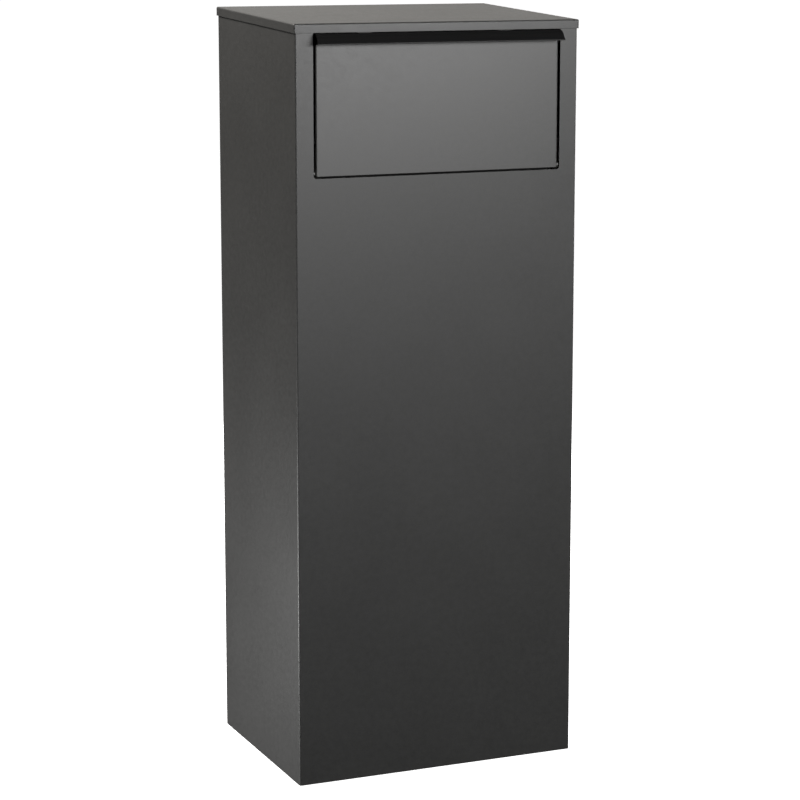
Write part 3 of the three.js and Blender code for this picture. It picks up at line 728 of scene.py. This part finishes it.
def refined(nodeName, width, angle=30):
    source = nodes[nodeName]
    clearSelection()
    piece = source.copy()
    piece.data = source.data.copy()
    for key in list(piece.keys()):
        del piece[key]
    bpy.context.scene.collection.objects.link(piece)
    piece.parent = None
    piece.matrix_world = Matrix.Identity(4)
    words = nodeName.split("_")
    piece.name = words[0] + "".join(word.title() for word in words[1:])
    piece.data.name = piece.name
    with editing(piece):
        bpy.ops.mesh.select_all(action="SELECT")
        bpy.ops.mesh.remove_doubles(threshold=cleanUp["merge"])
        bpy.ops.mesh.dissolve_limited(angle_limit=math.radians(cleanUp["flat"]))
    soften(piece, width, 2, angle)
    slotName = slotOf[nodeName]
    # the flap's pins get the much lighter copy of the coat, a painted highlight
    finish = finishes["pin_coat" if nodeName.startswith("flap_pin") else slotName]
    return fit(piece, finish, source["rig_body"], slotName, nodeName)


slotOf = {}
for part in frame["record"]["subparts"]:
    slotOf[part["node"]] = part["material_slot"]
edgeWidths = {"powder_coat": 0.2 * mm, "zinc_steel": 0.22 * mm, "nylon": 0.25 * mm, "rubber_black": 0.4 * mm}
for nodeName in sorted(nodes):
    if not nodes[nodeName].hide_render:
        refined(nodeName, edgeWidths[slotOf[nodeName]])
print("hardware finished")


# stage, light and camera
stageLook = {"size": 120, "glow": 1.04, "wall": 1.0}


def paleFloor():
    clearSelection()
    bpy.ops.mesh.primitive_plane_add(size=stageLook["size"], location=(0, 0, wrapLow.z - 0.2 * mm))
    floor = settle(bpy.context.object)
    floor.name = "paleFloor"
    paint = Finish("paleFloor", Roughness=0.9, Specular_IOR_Level=0.0, Emission_Strength=stageLook["glow"])
    grain = paint.noise(3, 2, 0.5)
    paint.set(
        Base_Color=paint.blend(grain, (0.9, 0.9, 0.9, 1), (0.89, 0.89, 0.89, 1)),
        Emission_Color=(1, 1, 1, 1),
    )
    floor.data.materials.append(paint.material)
    floor.visible_diffuse = False  # its glow doesn't reach the steel
    floor.visible_glossy = False


def studioWorld():
    world = bpy.data.worlds.new("studio")
    bpy.context.scene.world = world
    world.use_nodes = True
    wall = world.node_tree.nodes["Background"]
    wall.inputs["Color"].default_value = (1, 1, 1, 1)
    wall.inputs["Strength"].default_value = stageLook["wall"]
    world.cycles_visibility.diffuse = False
    world.cycles_visibility.glossy = False
    world.cycles_visibility.transmission = False


warm = (1.0, 0.97, 0.925)  # the roof and left lamps are a little warmer than the others
softboxes = {
    "front": {"at": (0.35, -3.0, 1.15), "aim": (0, -0.15, 0.9), "size": (0.9, 0.6), "watts": 31.8},
    "frontLow": {"at": (0.6, -2.6, 0.25), "aim": (0, -0.15, 0.25), "size": (1.4, 0.4), "watts": 1.2},
    "flap": {"at": (0.55, -1.5, 1.2), "aim": (-0.05, -0.15, 0.95), "size": (0.6, 0.4), "watts": 11.8},
    "roof": {"at": (0.6, 2.4, 1.9), "aim": (0, 0, 1), "size": (2.4, 1.4), "watts": 9.8, "tint": warm},
    "leftHigh": {"at": (-1.5, 0.6, 1.7), "aim": (-0.2, 0, 0.8), "size": (0.9, 0.9), "watts": 4.9,
                 "tint": warm},
    "leftTop": {"at": (-0.9, 0.3, 1.9), "aim": (-0.2, 0, 0.8), "size": (0.7, 0.5), "watts": 26.0,
                "tint": warm},
    "leftLow": {"at": (-0.85, 0.1, 0.1), "aim": (-0.2, 0, 0.15), "size": (0.5, 0.2), "watts": 6.8},
    "rear": {"at": (0.75, 2.2, 0.62), "aim": (0, 0.15, 0.55), "size": (1.6, 0.7), "watts": 30},
    "right": {"at": (2.2, 0.75, 0.62), "aim": (0.2, 0, 0.55), "size": (1.6, 0.7), "watts": 28},
}


def softbox(name, at, aim, size, watts, tint=(1, 1, 1)):
    light = bpy.data.lights.new(name, "AREA")
    light.shape = "RECTANGLE"
    light.size, light.size_y = size
    light.energy = watts
    light.color = tint
    lamp = bpy.data.objects.new(name, light)
    bpy.context.scene.collection.objects.link(lamp)
    lamp.location = at
    lamp.rotation_euler = (Vector(aim) - Vector(at)).to_track_quat("-Z", "Y").to_euler()


viewpoint = {"at": (-1.346, -3.172, 1.130), "yaw": 23.11, "down": 10.1, "lens": 114.3, "shift": -0.03}


def standCamera():
    lens = bpy.data.cameras.new("camera")
    lens.lens = viewpoint["lens"]
    lens.shift_y = viewpoint["shift"]
    lens.clip_end = 300
    camera = bpy.data.objects.new("camera", lens)
    bpy.context.scene.collection.objects.link(camera)
    camera.location = viewpoint["at"]
    camera.rotation_euler = (math.radians(90 - viewpoint["down"]), 0, -math.radians(viewpoint["yaw"]))
    bpy.context.scene.camera = camera


paleFloor()
studioWorld()
for name, settings in softboxes.items():
    softbox(name, **settings)
standCamera()
bpy.context.scene.view_settings.view_transform = "Standard"
print("stage, lights and camera set")
